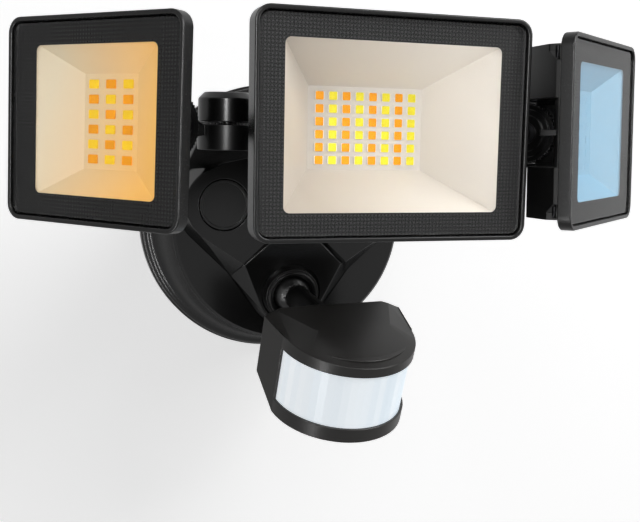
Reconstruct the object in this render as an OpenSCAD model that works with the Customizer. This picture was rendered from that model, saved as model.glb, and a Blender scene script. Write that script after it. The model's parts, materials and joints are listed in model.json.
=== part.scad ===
// Three-lamp LED security floodlight with a motion sensor.
// The wall is the plane y = 0, the light faces -Y and +Z is up.
// The origin is the centre of the wall plate's box-screw pattern.

/* [Base] */
// Radius of the round base at the wall
base_r = 75; // [70:1:90]
// Depth from the wall to the base's flat front
base_depth = 42; // [36:1:50]
// Radius of the base's flat front
face_r = 62.5; // [60:0.5:66]
// Height of the outer rim band
rim_h = 6; // [4:0.5:8]
// Wall thickness of the base dish
dish_t = 2.6; // [2:0.2:3.4]
// Thickness of the foam wall gasket
gasket_t = 2; // [1.5:0.1:3]

/* [Wall plate] */
// Radius of the wall plate
plate_r = 56; // [52:1:60]
// Thickness of the wall plate
plate_t = 2; // [1.5:0.1:3]
// Distance between the two box screws
box_spacing = 88.9; // [82:0.1:92]
// Width of the box-screw slots
slot_w = 4.8; // [4.4:0.1:5.6]
// Length of the box-screw slots
slot_len = 12; // [9:0.5:16]
// Radius of the cable hole in the middle of the wall plate
cable_hole_r = 14; // [10:1:18]

/* [Carrier] */
// How far the carrier's flat top stands out of the base
carrier_h = 13; // [10:0.5:16]
// Distance of each screw lobe from the middle
lobe_x = 40.3; // [38:0.1:42]
// Height of the screw lobes above the middle
lobe_z = 11; // [8:0.5:14]
// Radius of a screw lobe at its top
lobe_r = 19; // [18:0.5:21]
// How much wider the carrier is at its foot
flare = 6; // [4:0.5:7]
// Distance of each lower tip from the middle
tip_x = 28; // [25:0.5:31]
// Depth of the lower tips below the middle
tip_z = 20; // [17:0.5:23]
// Top of the carrier above the middle
crown_z = 47; // [44:0.5:49]
// Radius of a screw cap
cap_r = 12.9; // [12:0.1:13.5]
// Width of the groove around a screw cap
cap_gap = 0.4; // [0.3:0.1:0.8]
// Thickness of a screw cap
cap_t = 3; // [2.4:0.1:4]
// Radius of the fixing screws
fix_screw_r = 2.4; // [2:0.1:2.9]

/* [Arms] */
// Sideways distance of the side pan axes
side_axis_x = 52.6; // [50:0.1:56]
// Distance of the side pan axes from the wall
side_axis_y = 116; // [108:1:122]
// Distance of the centre pan axis from the wall
centre_axis_y = 86; // [82:1:92]
// Height of the joint seams above the middle
seam_z = 53; // [51:0.5:55]
// Radius of the fixed upper drums
drum_r = 12.6; // [12:0.1:13.2]
// Height of the fixed upper drums
drum_h = 13; // [12:0.5:15]
// Chamfer on top of the fixed drums
drum_bevel = 2.8; // [1:0.2:3.4]
// Width of the arms
arm_w = 21; // [16:0.5:23]
// Thickness of the arms at their drums
arm_t = 9.4; // [8:0.2:10]

/* [Swivels] */
// Radius of the turning lower drums
swivel_r = 12.9; // [12.2:0.1:13.4]
// Height of the turning lower drums
swivel_h = 12; // [11:0.5:14]
// Height of the teeth in the seam
tooth_h = 0.9; // [0.6:0.1:1.2]
// Distance from the pan axis to the tilt axis
neck_len = 47.6; // [45:0.2:52]
// Depth of the neck below the seam
neck_drop = 5.8; // [5:0.2:7]
// Radius of the tilt joint
disc_r = 13.5; // [12.6:0.1:13.7]
// Thickness of the swivel's tongue
tongue_t = 7.4; // [6:0.2:8]
// Thickness of the lamp's toothed inner ear
ear_t = 16.5; // [8:0.5:17]
// Thickness of the lamp's plain outer ear
outer_ear_t = 6; // [4:0.5:8]
// Distance of the tilt axis below the seam
tilt_drop = 1.5; // [0:0.1:2.5]
// Radius of the pan and tilt bolts
bolt_r = 3; // [2.5:0.1:3.4]

/* [Side lamps] */
// Width of a side lamp
side_w = 92; // [88:1:100]
// Height of a side lamp
side_h = 81; // [78:1:90]
// Width of the lit opening of a side lamp
side_open_w = 64; // [60:1:68]
// Height of the lit opening of a side lamp
side_open_h = 58.5; // [55:0.5:60]
// Depth of a side lamp's bezel frame
side_bezel_d = 6.4; // [6.4:0.2:10]
// Depth of a side lamp's LED board behind its face
side_led_depth = 13; // [12:0.5:15]
// Distance from a side lamp's middle to its pan axis
side_offset = 6.6; // [5:0.1:9]

/* [Centre lamp] */
// Width of the centre lamp
centre_w = 117; // [112:1:124]
// Height of the centre lamp
centre_h = 90; // [87:1:96]
// Width of the lit opening of the centre lamp
centre_open_w = 92; // [88:1:96]
// Height of the lit opening of the centre lamp
centre_open_h = 67; // [63:1:70]
// Depth of the centre lamp's bezel frame
centre_bezel_d = 10; // [8:0.2:12]
// Depth of the centre lamp's LED board behind its face
centre_led_depth = 37; // [34:0.5:40]

/* [Lamp parts] */
// Corner radius of the bezel
bezel_corner = 6.5; // [5:0.5:8]
// Width of the bezel's raised lip
lip_w = 2.2; // [1.8:0.1:3]
// How far the glass sits below the lip
glass_drop = 1.6; // [1:0.1:2]
// Thickness of the glass
glass_t = 2; // [1.6:0.1:2.2]
// Thickness of the silicone seal
seal_t = 0.8; // [0.6:0.1:1]
// Thickness of the LED boards
board_t = 1.2; // [1:0.1:1.6]
// Wall thickness of the lamp housings
housing_t = 1.6; // [1.4:0.1:2.4]
// How far the housing stands in from the bezel's edge
inset = 6.5; // [5.5:0.1:7.5]
// How far the housing stands in from the bezel's top and bottom
inset_z = 3.8; // [3:0.1:5]
// Height of the middle channel in the housing's back
channel_h = 28.6; // [28.2:0.2:31]
// How far the upper and lower blocks stand behind the channel floor
block_len = 11.2; // [8:0.2:13]
// How far the sides of a side lamp's housing lean in
side_lean = 13.5; // [6:0.5:16]
// How far the sides of the centre lamp's housing lean in
centre_lean = 10; // [6:0.5:14]
// Size of one LED
led = 3.6; // [2.8:0.1:4]

/* [Sensor] */
// How far the sensor's ball centre stands in front of the base
ball_out = 3; // [2:0.5:5]
// Depth of the sensor's ball centre below the middle
ball_z = 36.8; // [36:0.1:42]
// Radius of the sensor's ball
ball_r = 11.5; // [10:0.1:12]
// Downward lean of the sensor socket
socket_lean = 12; // [8:1:16]
// Length of the sensor stem from its ball to the tilt pin
stem_len = 40; // [36:0.1:44]
// Radius of the sensor stem
stem_r = 6.6; // [6:0.1:7]
// Radius of the sensor lens
lens_r = 32.5; // [31:0.5:34]
// Height of the visible lens
lens_h = 27.8; // [25:0.2:30]
// Distance from the lens axis to the sensor's back
sensor_back_y = 18.8; // [17:0.2:21]
// Half of the sensor's width at its back
cheek_x = 37.4; // [35.5:0.2:39]
// Height of the sensor above the middle of its lens
hood_z = 24; // [22:0.5:26]
// Depth of the sensor below the middle of its lens
sensor_low = 22.5; // [21:0.5:24]
// Radius of the sensor's tilt pin
pin_r = 2.5; // [2:0.1:3]

/* [Pose] */
// Turn of the left lamp, minus is to the left
left_pan = -51; // [-60:1:-45]
// Turn of the centre lamp
centre_pan = 0; // [-2:1:2]
// Turn of the right lamp
right_pan = 39; // [38:1:60]
// Tilt of the side lamps, minus is up
side_tilt = -2; // [-4:0.5:4]
// Tilt of the centre lamp, minus is up
centre_tilt = -1; // [-3:0.5:3]
// Turn of the sensor
sensor_pan = 8; // [0:1:12]
// Downward tilt of the sensor
sensor_tilt = 17; // [10:1:22]
// Fall of the sensor stem
stem_fall = 11; // [4:1:12]

/* [Hidden] */
$fn = 64;

black = [0.10, 0.10, 0.105];
dark = [0.16, 0.155, 0.15];
zinc = [0.72, 0.73, 0.74];
board_green = [0.10, 0.35, 0.20];
white = [0.93, 0.91, 0.87];

fit_gap = 0.3;
run_gap = 0.05;
eps = 0.01;
LEFT = 0;
CENTRE = 1;
RIGHT = 2;

// ---- shared shapes ----

// A 2D rectangle with round corners
module rounded(w, h, r) {
    square([w - 2 * r, h], center = true);
    square([w, h - 2 * r], center = true);
    for (x = [-1, 1], z = [-1, 1])
        translate([x * (w / 2 - r), z * (h / 2 - r)]) circle(r, $fn = 32);
}

// A 2D outline in X and Z, given thickness from y to y + t
module panel(y, t) translate([0, y + t, 0]) rotate([90, 0, 0]) linear_extrude(t) children();

// A disc or tube about the X axis, from x to x + t
module along_x(x, t) translate([x, 0, 0]) rotate([90, 0, 90]) linear_extrude(t) children();

// A 2D wheel with small teeth on its rim
module toothed(r, depth, count)
    polygon([for (i = [0:count - 1], k = [0:3])
        let (a = 360 * (i + [0, 0.3, 0.5, 0.8][k]) / count, q = k == 1 || k == 2 ? r : r - depth)
        q * [cos(a), sin(a)]]);

// A body turned about the Y axis; the outline holds radii and distances from the wall
module turned(outline) rotate([90, 0, 0]) rotate_extrude($fn = 128) polygon(outline);

// ---- base ----

cove_steps = 8;
cove = [for (i = [0:cove_steps]) let (a = 90 * i / cove_steps)
    [face_r + 0.8 + (base_r - 2.6 - face_r - 0.8) * (1 - sin(a)),
     rim_h + 5 + (base_depth - 1.4 - rim_h - 5) * (1 - cos(a))]];
dish_inner_r = face_r - dish_t;
rim_inner_r = base_r - 5;
fix_at = [for (s = [-1, 1]) [s * (lobe_x - 1.4), -base_depth, lobe_z]];

module base_dish() color(black) difference() {
    turned(concat(
        [[0, base_depth - dish_t], [0, base_depth], [face_r - 0.6, base_depth], [face_r, base_depth - 0.6]],
        [for (i = [cove_steps:-1:0]) cove[i]],
        [[base_r - 1.6, rim_h + 4], [base_r - 1.2, rim_h + 3.2], [base_r - 1.2, rim_h + 1.4],
         [base_r - 1.8, rim_h + 1], [base_r - 1.8, rim_h + 0.5], [base_r - 0.8, rim_h],
         [base_r, rim_h - 0.8], [base_r, 0], [rim_inner_r, 0], [rim_inner_r, rim_h + 5],
         [dish_inner_r, rim_h + 9], [dish_inner_r, base_depth - dish_t]]));
    turned([[gasket_in - fit_gap, -1], [gasket_in - fit_gap, gasket_t],
        [gasket_out + fit_gap, gasket_t], [gasket_out + fit_gap, -1]]);
    for (p = fix_at) translate(p) rotate([90, 0, 0])
        cylinder(r = fix_screw_r + 0.2, h = 3 * dish_t, center = true);
    for (p = carrier_screw_at) translate([p[0], -base_depth, p[1]]) rotate([90, 0, 0])
        cylinder(r = carrier_screw_r + 0.2, h = 3 * dish_t, center = true);
    translate([0, -base_depth, -ball_z]) rotate([90, 0, 0])
        cylinder(r = socket_r + 0.6, h = 3 * dish_t, center = true);
}

gasket_in = base_r - 3.6;
gasket_out = base_r - 1.6;

module wall_gasket() color(dark)
    turned([[gasket_in, 0], [gasket_in, gasket_t], [gasket_out, gasket_t], [gasket_out, 0]]);

// Round steel plate that is screwed to the wall box
nut_h = 4;
module wall_plate() color(zinc) difference() {
    union() {
        rotate([90, 0, 0]) cylinder(r = plate_r, h = plate_t);
        for (p = fix_at) translate([p[0], 0, p[2]]) rotate([90, 0, 0])
            cylinder(r = 2 * fix_screw_r, h = plate_t + nut_h);
        for (s = [-1, 1]) translate([s * post_x, 0, post_z]) rotate([90, 0, 0])
            cylinder(r = 3, h = plate_t + post_h);
    }
    for (s = [-1, 1]) translate([0, 0, s * box_spacing / 2]) panel(-2 * plate_t, 3 * plate_t)
        rotate(90) slot_outline(slot_len, slot_w);
    for (p = fix_at) translate([p[0], 0, p[2]]) rotate([90, 0, 0])
        cylinder(r = fix_screw_r + run_gap, h = 4 * nut_h, center = true);
    rotate([90, 0, 0]) cylinder(r = cable_hole_r, h = 3 * plate_t, center = true);
}

module slot_outline(length, width) {
    square([length - width, width], center = true);
    for (s = [-1, 1]) translate([s * (length - width) / 2, 0]) circle(width / 2);
}

// ---- driver ----

board_w = 70;
board_h = 34;
post_x = 30;
post_z = -26;
post_h = 7;
driver_y = -plate_t - post_h;

module driver_board() color(board_green) difference() {
    translate([-board_w / 2, driver_y - board_t, post_z - board_h / 2]) cube([board_w, board_t, board_h]);
    for (s = [-1, 1]) translate([s * post_x, driver_y, post_z]) rotate([90, 0, 0])
        cylinder(r = 1.6, h = 3 * board_t, center = true);
}

module driver_parts() color(dark) translate([0, driver_y - board_t, post_z]) {
    translate([-22, -14, -11]) cube([20, 14, 20]);
    translate([10, 0, 5]) rotate([90, 0, 0]) cylinder(r = 6, h = 15);
    translate([10, 0, -9]) rotate([90, 0, 0]) cylinder(r = 5, h = 12);
    for (s = [-1, 1]) translate([s * post_x, 0, 0]) rotate([90, 0, 0]) cylinder(r = 3, h = 2);
}

terminal_d = 12;
module terminal_block() color(white) translate([-17, -plate_t - terminal_d, 22]) difference() {
    cube([34, terminal_d, 11]);
    for (x = [5.5, 17, 28.5]) translate([x, -1, 5.5]) rotate([-90, 0, 0]) cylinder(r = 2, h = 6);
}

// ---- carrier with its lobes and arms ----

top_y = -base_depth - carrier_h;
foot_y = -base_depth;
drum_z = seam_z + fit_gap;
socket_dir = [90 + socket_lean, 0, 0];
ball_y = base_depth + ball_out;
socket_r = ball_r + 0.6;
ring_out = ball_r + 3;
ring_t = 4.4;
carrier_screw_r = 1.9;
carrier_screw_at = [[-22, 20], [22, 20], [-21, -12], [21, -12]];

module half_lobe(s) hull() {
    panel(top_y, eps) {
        translate([s * lobe_x, lobe_z]) circle(lobe_r, $fn = 56);
        polygon([[s * tip_x, -tip_z], [0, lobe_z - 4], [0, crown_z], [s * 30, crown_z - 10]]);
    }
    panel(foot_y - eps, eps) {
        translate([s * (lobe_x - 3.6), lobe_z]) circle(lobe_r + flare, $fn = 56);
        polygon([[s * (tip_x + 4), -tip_z - flare - 2], [0, lobe_z - 12], [0, crown_z + flare],
            [s * 34, crown_z - 8]]);
    }
}

module sensor_lobe() hull() {
    translate([0, -ball_y, -ball_z]) rotate(socket_dir) translate([0, 0, socket_face])
        linear_extrude(eps) {
            circle(ring_out + 3.5, $fn = 48);
            polygon([[-tip_x + 1, ball_z - tip_z], [tip_x - 1, ball_z - tip_z], [0, ball_z + lobe_z - 6]]);
        }
    panel(foot_y - eps, eps) {
        translate([0, -ball_z + 3]) circle(ring_out + 8.5, $fn = 48);
        polygon([[-tip_x - 6, -tip_z - 6], [tip_x + 6, -tip_z - 6], [0, lobe_z]]);
    }
}

// One arm: a bar behind its drum, and a web that flows down to the carrier
bar_len = 20;
module arm(x, y, root) {
    turn = atan2(x - root_mid(x), y + top_y);
    translate([x, -y, drum_z + 0.4]) rotate([0, 0, turn]) translate([-arm_w / 2, 0, 0])
        cube([arm_w, bar_len, arm_t - 0.8]);
    hull() {
        translate([x, -y, drum_z + 0.2]) rotate([0, 0, turn]) translate([-arm_w / 2 - 0.2, bar_len - 2, 0])
            cube([arm_w + 0.4, 2, arm_t - 0.4]);
        panel(top_y + 3, 1) polygon(root);
    }
}
function root_mid(x) = x == 0 ? 0 : sign(x) * 30;
side_root = [[59.4, 29], [60, 33], [55, 40], [42, 50], [20, 58], [19, 36], [31, 36.5], [42, 32.4], [48, 29.8]];
centre_root = [[-12, 36], [12, 36], [12, 58], [-12, 58]];
function mirrored_x(list) = [for (p = list) [-p[0], p[1]]];

module drum_at(x, y) translate([x, -y, drum_z]) {
    cylinder(r = drum_r, h = drum_h - drum_bevel);
    translate([0, 0, drum_h - drum_bevel]) cylinder(r1 = drum_r, r2 = drum_r - drum_bevel, h = drum_bevel);
}

axes = [[-side_axis_x, side_axis_y], [0, centre_axis_y], [side_axis_x, side_axis_y]];
socket_face = 3;

module arm_carrier() color(black) difference() {
    union() {
        intersection() {
            union() {
                for (s = [-1, 1]) half_lobe(s);
                sensor_lobe();
            }
            translate([0, foot_y, 0]) rotate([90, 0, 0]) cylinder(r = face_r - 0.3, h = 3 * carrier_h, $fn = 128);
        }
        arm(axes[LEFT][0], side_axis_y, mirrored_x(side_root));
        arm(axes[CENTRE][0], centre_axis_y, centre_root);
        arm(axes[RIGHT][0], side_axis_y, side_root);
        for (a = axes) drum_at(a[0], a[1]);
    }
    // seats of the screw caps and the wells of the fixing screws
    for (p = fix_at) translate([p[0], top_y, p[2]]) {
        rotate([90, 0, 0]) cylinder(r = cap_r + cap_gap, h = 2 * cap_t, center = true);
        rotate([-90, 0, 0]) cylinder(r = 2.4 * fix_screw_r, h = carrier_h - 3);
        rotate([-90, 0, 0]) cylinder(r = fix_screw_r + 0.2, h = 2 * carrier_h);
    }
    // socket of the sensor's ball
    translate([0, -ball_y, -ball_z]) sphere(r = socket_r);
    translate([0, -ball_y, -ball_z]) rotate(socket_dir) {
        translate([0, 0, socket_face - 1.6]) cylinder(r = ring_out + 1.6, h = 30);
        cylinder(r = ball_r + fit_gap, h = 10);
    }
    // blind holes of the pan bolts
    for (a = axes) translate([a[0], -a[1], drum_z - eps]) cylinder(r = bolt_r + run_gap, h = drum_h - 4);
    for (p = carrier_screw_at) translate([p[0], foot_y + 1, p[1]]) rotate([90, 0, 0])
        cylinder(r = carrier_screw_r + run_gap, h = 8);
}

// Two long screws from the lobes to the wall plate
module fixing_screws() color(zinc) for (p = fix_at) translate([p[0], 0, p[2]]) rotate([90, 0, 0]) {
    translate([0, 0, 0.5]) cylinder(r = fix_screw_r, h = base_depth + 3 - 0.5);
    translate([0, 0, base_depth + 3]) difference() {
        cylinder(r = 2 * fix_screw_r, h = 3);
        translate([-0.5, -3 * fix_screw_r, 1.6]) cube([1, 6 * fix_screw_r, 3]);
    }
}

module screw_caps() color(black) for (p = fix_at) translate([p[0], top_y, p[2]]) {
    translate([0, cap_t, 0]) rotate([90, 0, 0]) cylinder(r = cap_r, h = cap_t);
    translate([0, cap_t + 1.5, 0]) rotate([90, 0, 0]) difference() {
        cylinder(r = 2.4 * fix_screw_r - 0.1, h = 2);
        translate([0, 0, -1]) cylinder(r = 2.4 * fix_screw_r - 1.2, h = 2.5);
    }
}

module carrier_screws() color(zinc) for (p = carrier_screw_at)
    translate([p[0], foot_y + dish_t, p[1]]) rotate([90, 0, 0]) {
        translate([0, 0, -2]) cylinder(r = 2 * carrier_screw_r, h = 2);
        cylinder(r = carrier_screw_r, h = dish_t + 6);
    }

module pan_bolts() color(zinc) for (a = axes) translate([a[0], -a[1], seam_z - swivel_h]) {
    translate([0, 0, 0.6]) difference() {
        cylinder(r = 2 * bolt_r - 0.6, h = 2.7);
        translate([-0.6, -2 * bolt_r, -1]) cube([1.2, 4 * bolt_r, 2.2]);
    }
    translate([0, 0, 3.2]) cylinder(r = bolt_r, h = swivel_h + drum_h - 7.2);
}

// ---- swivels ----

// Puts a child at a pan axis: x sideways, y to the wall, z up from the seam
module on_swivel(i) translate([axes[i][0], -axes[i][1], seam_z])
    rotate([0, 0, [left_pan, centre_pan, right_pan][i]])
    mirror([i == RIGHT ? 1 : 0, 0, 0]) children();

module swivel() color(black) difference() {
    union() {
        translate([0, 0, -swivel_h]) cylinder(r = swivel_r, h = swivel_h - tooth_h);
        translate([0, 0, -tooth_h - eps]) linear_extrude(tooth_h + eps) toothed(swivel_r - 0.5, 1, 40);
        // neck to the tongue
        translate([0, 0, -neck_drop]) linear_extrude(neck_drop - tooth_h) polygon([
            [tongue_x - tongue_t, -6], [tongue_x, -6], [tongue_x, -neck_len + 2], [tongue_x - tongue_t, -neck_len + 2]]);
        translate([tongue_x - tongue_t, 0, 0]) rotate([90, 0, 90]) linear_extrude(tongue_t) polygon([
            [-swivel_r - 1, -neck_drop], [-neck_len, -disc_r + 3], [-neck_len, disc_r - 5],
            [-swivel_r - 12, 4], [-swivel_r - 1, -tooth_h]]);
        translate([0, -neck_len, -tilt_drop]) along_x(tongue_x - tongue_t, tongue_t) circle(disc_r - 1.5);
    }
    translate([0, 0, -swivel_h - 1]) cylinder(r = bolt_r + run_gap, h = swivel_h + 2);
    translate([0, 0, -swivel_h - 1]) cylinder(r = 2 * bolt_r - 0.3, h = 4.6);
    translate([0, -neck_len, -tilt_drop]) along_x(tongue_x - tongue_t - 1, tongue_t + 2) circle(bolt_r + run_gap);
}

// Inner face of the tongue, measured from the pan axis
tongue_x = -2;

module left_swivel() on_swivel(LEFT) swivel();
module centre_swivel() on_swivel(CENTRE) swivel();
module right_swivel() on_swivel(RIGHT) swivel();

// ---- lamps ----

// Sizes that differ between the side lamps and the centre lamp
function lamp(i, side_value, centre_value) = i == CENTRE ? centre_value : side_value;
function lamp_w(i) = lamp(i, side_w, centre_w);
function lamp_h(i) = lamp(i, side_h, centre_h);
function open_w(i) = lamp(i, side_open_w, centre_open_w);
function open_h(i) = lamp(i, side_open_h, centre_open_h);
function led_depth(i) = lamp(i, side_led_depth, centre_led_depth);
function floor_depth(i) = led_depth(i) + board_t + housing_t;
// Distance of the tilt axis behind the face
function axis_depth(i) = floor_depth(i) + disc_r + 0.7;
function bezel_d(i) = lamp(i, side_bezel_d, centre_bezel_d);
// Depth of the housing's middle part at its sides
function shoulder(i) = lamp(i, 9, 18);
function led_grid(i) = lamp(i, [3, 6], [8, 6]);
function led_pitch(i) = lamp(i, [9.2, 5.9], [6, 5.4]);
function lamp_offset(i) = lamp(i, side_offset, 0);
function well_w(i) = led_pitch(i)[0] * (led_grid(i)[0] - 1) + 10;
function well_h(i) = led_pitch(i)[1] * (led_grid(i)[1] - 1) + 8;

mask_t = 0.2;
glass_gap = 0.5;
wall_in = 1.9;
web_y = glass_drop + glass_t + mask_t + seal_t;
web_t = 1.6;
front_y = web_y + web_t + 0.2;
lug_t = 2.4;
lug_r = 2.8;

// Puts a child at a lamp's tilt axis, with x = 0 at the lamp's middle
module on_lamp(i) on_swivel(i) translate([-lamp_offset(i), -neck_len, -tilt_drop])
    rotate([lamp(i, side_tilt, centre_tilt), 0, 0]) children();

// The same, with y = 0 at the lamp's face
module on_face(i) on_lamp(i) translate([0, -axis_depth(i), 0]) children();

module bezel(i) color(black) difference() {
    hull() {
        panel(1, bezel_d(i) - 1) rounded(lamp_w(i), lamp_h(i), bezel_corner);
        panel(0, eps) rounded(lamp_w(i) - 1.6, lamp_h(i) - 1.6, bezel_corner - 0.8);
    }
    panel(-1, web_y + 1) rounded(lamp_w(i) - 2 * lip_w, lamp_h(i) - 2 * lip_w, bezel_corner - lip_w);
    panel(0, 2 * bezel_d(i)) rounded(open_w(i) + 7, open_h(i) + 7, 4);
    panel(web_y + web_t, bezel_d(i))
        rounded(lamp_w(i) - 2 * wall_in, lamp_h(i) - 2 * wall_in, bezel_corner - wall_in);
    for (p = screw_at(i)) translate([p[0], 0, p[1]]) panel(web_y - 0.4, web_t + 1) circle(screw_r + run_gap);
}

screw_r = 1.3;
function screw_at(i) = [for (x = [-1, 1], z = [-1, 1])
    [x * (lamp_w(i) / 2 - wall_in - 3), z * (lamp_h(i) / 2 - wall_in - 5.6)]];

function glass_w(i) = lamp_w(i) - 2 * lip_w - 2 * glass_gap;
function glass_h(i) = lamp_h(i) - 2 * lip_w - 2 * glass_gap;
glass_corner = bezel_corner - lip_w - glass_gap;

module glass(i) color([0.8, 0.85, 0.85, 0.35])
    panel(glass_drop, glass_t) rounded(glass_w(i), glass_h(i), glass_corner);

// Black border printed on the back of the glass
module mask(i) color(black) panel(glass_drop + glass_t, mask_t) difference() {
    rounded(glass_w(i), glass_h(i), glass_corner);
    rounded(open_w(i), open_h(i), 2.5);
}

module seal(i) color(dark) panel(glass_drop + glass_t + mask_t, seal_t) difference() {
    rounded(glass_w(i), glass_h(i), glass_corner);
    rounded(open_w(i) + 7, open_h(i) + 7, 4);
}

module reflector(i) color(white) difference() {
    taper(web_y - seal_t, open_w(i) + 5, open_h(i) + 5, led_depth(i), well_w(i) + 2, well_h(i) + 2);
    taper(web_y - seal_t - eps, open_w(i) + 2, open_h(i) + 2, led_depth(i) + eps, well_w(i), well_h(i));
}

// A block that narrows from w0 by h0 at y0 to w1 by h1 at y1
module taper(y0, w0, h0, y1, w1, h1) intersection() {
    translate([0, 0, -h0]) linear_extrude(2 * h0)
        polygon([[-w0 / 2, y0], [w0 / 2, y0], [w1 / 2, y1], [-w1 / 2, y1]]);
    translate([-w0, 0, 0]) rotate([90, 0, 90]) linear_extrude(2 * w0)
        polygon([[y0, -h0 / 2], [y1, -h1 / 2], [y1, h1 / 2], [y0, h0 / 2]]);
}

module led_board(i) color(white)
    panel(led_depth(i), board_t) rounded(well_w(i) + 6, well_h(i) + 6, 1);

// LEDs of one colour; the two colours alternate along the board
module leds(i, warm) color(warm ? [1, 0.62, 0.2] : [1, 0.95, 0.4])
    for (c = [0:led_grid(i)[0] - 1], r = [0:led_grid(i)[1] - 1])
        if (is_warm(i, c, r) == warm) translate([
            (c - (led_grid(i)[0] - 1) / 2) * led_pitch(i)[0] - led / 2, led_depth(i) - 0.7,
            (r - (led_grid(i)[1] - 1) / 2) * led_pitch(i)[1] - led / 2])
            cube([led, 0.7, led]);

function is_warm(i, c, r) = (i == CENTRE ? c : c + r) % 2 == 0;

// Outline of the housing, stepped in towards its top and bottom
module housing_outline(w, h) {
    low = h - 3;
    wide = h - 7;
    polygon([[-w, -wide], [-w + 3.5, -low], [-w + 3.5, -h], [w - 3.5, -h], [w - 3.5, -low], [w, -wide],
        [w, wide], [w - 3.5, low], [w - 3.5, h], [-w + 3.5, h], [-w + 3.5, low], [-w, wide]]);
}

fin_pitch = 8;
module housing(i) color(black) {
    w = lamp_w(i) / 2 - inset;
    h = lamp_h(i) / 2 - inset_z;
    back = floor_depth(i) + block_len;
    rear_w = w - lamp(i, side_lean, centre_lean);
    fins = floor((rear_w - 3) / fin_pitch);
    inner = lamp_offset(i) + tongue_x + fit_gap;
    outer = inner - tongue_t - 2 * fit_gap - outer_ear_t;
    difference() {
        union() {
            // upper and lower blocks
            difference() {
                intersection() {
                    panel(front_y, back - front_y) housing_outline(w, h);
                    translate([0, 0, -2 * h]) linear_extrude(4 * h) polygon([[-w - 1, 0], [w + 1, 0],
                        [w + 1, shoulder(i)], [rear_w, back + eps], [-rear_w, back + eps], [-w - 1, shoulder(i)]]);
                }
                translate([-2 * w, 0, -channel_h / 2]) cube([4 * w, 2 * back, channel_h]);
            }
            // shallower middle part
            translate([0, 0, -channel_h / 2 - 1]) linear_extrude(channel_h + 2)
                polygon([[-w, front_y], [w, front_y], [w, shoulder(i)], [well_w(i) / 2 + 10, floor_depth(i)],
                    [-well_w(i) / 2 - 10, floor_depth(i)], [-w, shoulder(i)]]);
            // lugs of the bezel screws
            for (p = screw_at(i)) panel(front_y, lug_t) {
                translate(p) circle(lug_r);
                translate([p[0] - (p[0] > 0 ? 8 : 0), p[1] - lug_r]) square([8, 2 * lug_r]);
            }
            // ears of the tilt joint
            translate([0, axis_depth(i), 0]) {
                along_x(inner, ear_t - 3) circle(disc_r);
                along_x(inner + ear_t - 3.2, 1.4) toothed(disc_r - 0.4, 0.6, 48);
                along_x(inner + ear_t - 2, 1) circle(disc_r - 3);
                along_x(inner + ear_t - 1.2, 1.2) circle(disc_r - 5.5);
                along_x(outer, outer_ear_t) circle(disc_r - 2.5);
            }
            for (e = [[inner, ear_t - 3.4, disc_r - 1], [outer, outer_ear_t, disc_r - 3.5]])
                translate([e[0], floor_depth(i) - 1, -e[2]])
                    cube([e[1], axis_depth(i) - floor_depth(i) + 1, 2 * e[2]]);
            // foot of the inner ear, as high as the channel
            translate([inner + 0.2, floor_depth(i) - 1.2, -channel_h / 2 - 0.5])
                cube([ear_t - 4, block_len + 0.6, channel_h + 1]);
            // rib from the inner ear to the side
            translate([inner + ear_t - 5, shoulder(i) - 1, -1.2])
                cube([w - inner - ear_t + 2, axis_depth(i) - disc_r - shoulder(i) + 2.5, 2.4]);
        }
        // room for the reflector and the LED board
        taper(front_y - 1, open_w(i) + 8, open_h(i) + 8, led_depth(i) + board_t, well_w(i) + 8, well_h(i) + 8);
        // grooves between the cooling fins
        for (k = [-fins:fins], s = [-1, 1])
            translate([k * fin_pitch - 2, back - 4, s > 0 ? channel_h / 2 + 2 : -h - 2])
                cube([4, 5, h - channel_h / 2]);
        translate([outer - 1, axis_depth(i), 0]) rotate([0, 90, 0])
            cylinder(r = bolt_r + 0.1, h = outer_ear_t + tongue_t + ear_t + 4);
        for (p = screw_at(i)) translate([p[0], 0, p[1]]) panel(front_y - 1, 2 * lug_t) circle(screw_r + 0.1);
    }
}

module bezel_screws(i) color(zinc) for (p = screw_at(i)) translate([p[0], 0, p[1]]) {
    panel(web_y + 0.2, front_y + lug_t - web_y) circle(screw_r);
    difference() {
        panel(front_y + lug_t, 1.6) circle(2 * screw_r);
        translate([-0.4, front_y + lug_t + 0.8, -3]) cube([0.8, 1, 6]);
    }
}

// Bolt through the lamp's ears and the swivel's tongue, with a nut at its outer end
module tilt_bolt(i) color(zinc) {
    inner = lamp_offset(i) + tongue_x + fit_gap;
    outer = inner - tongue_t - 2 * fit_gap - outer_ear_t;
    translate([outer, 0, 0]) rotate([0, 90, 0]) {
        translate([0, 0, -3]) cylinder(r = 1.8 * bolt_r, h = 3, $fn = 6);
        translate([0, 0, -1]) cylinder(r = bolt_r, h = inner + ear_t - outer + 1.5);
    }
    translate([inner + ear_t, 0, 0]) rotate([0, 90, 0]) {
        cylinder(r = 5, h = 1);
        translate([0, 0, 1]) cylinder(r1 = 5, r2 = 3.4, h = 1.4);
    }
}

module left_housing() on_face(LEFT) housing(LEFT);
module centre_housing() on_face(CENTRE) housing(CENTRE);
module right_housing() on_face(RIGHT) housing(RIGHT);
module left_bezel() on_face(LEFT) bezel(LEFT);
module centre_bezel() on_face(CENTRE) bezel(CENTRE);
module right_bezel() on_face(RIGHT) bezel(RIGHT);
module left_glass() on_face(LEFT) glass(LEFT);
module centre_glass() on_face(CENTRE) glass(CENTRE);
module right_glass() on_face(RIGHT) glass(RIGHT);
module left_mask() on_face(LEFT) mask(LEFT);
module centre_mask() on_face(CENTRE) mask(CENTRE);
module right_mask() on_face(RIGHT) mask(RIGHT);
module left_seal() on_face(LEFT) seal(LEFT);
module centre_seal() on_face(CENTRE) seal(CENTRE);
module right_seal() on_face(RIGHT) seal(RIGHT);
module left_reflector() on_face(LEFT) reflector(LEFT);
module centre_reflector() on_face(CENTRE) reflector(CENTRE);
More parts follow.
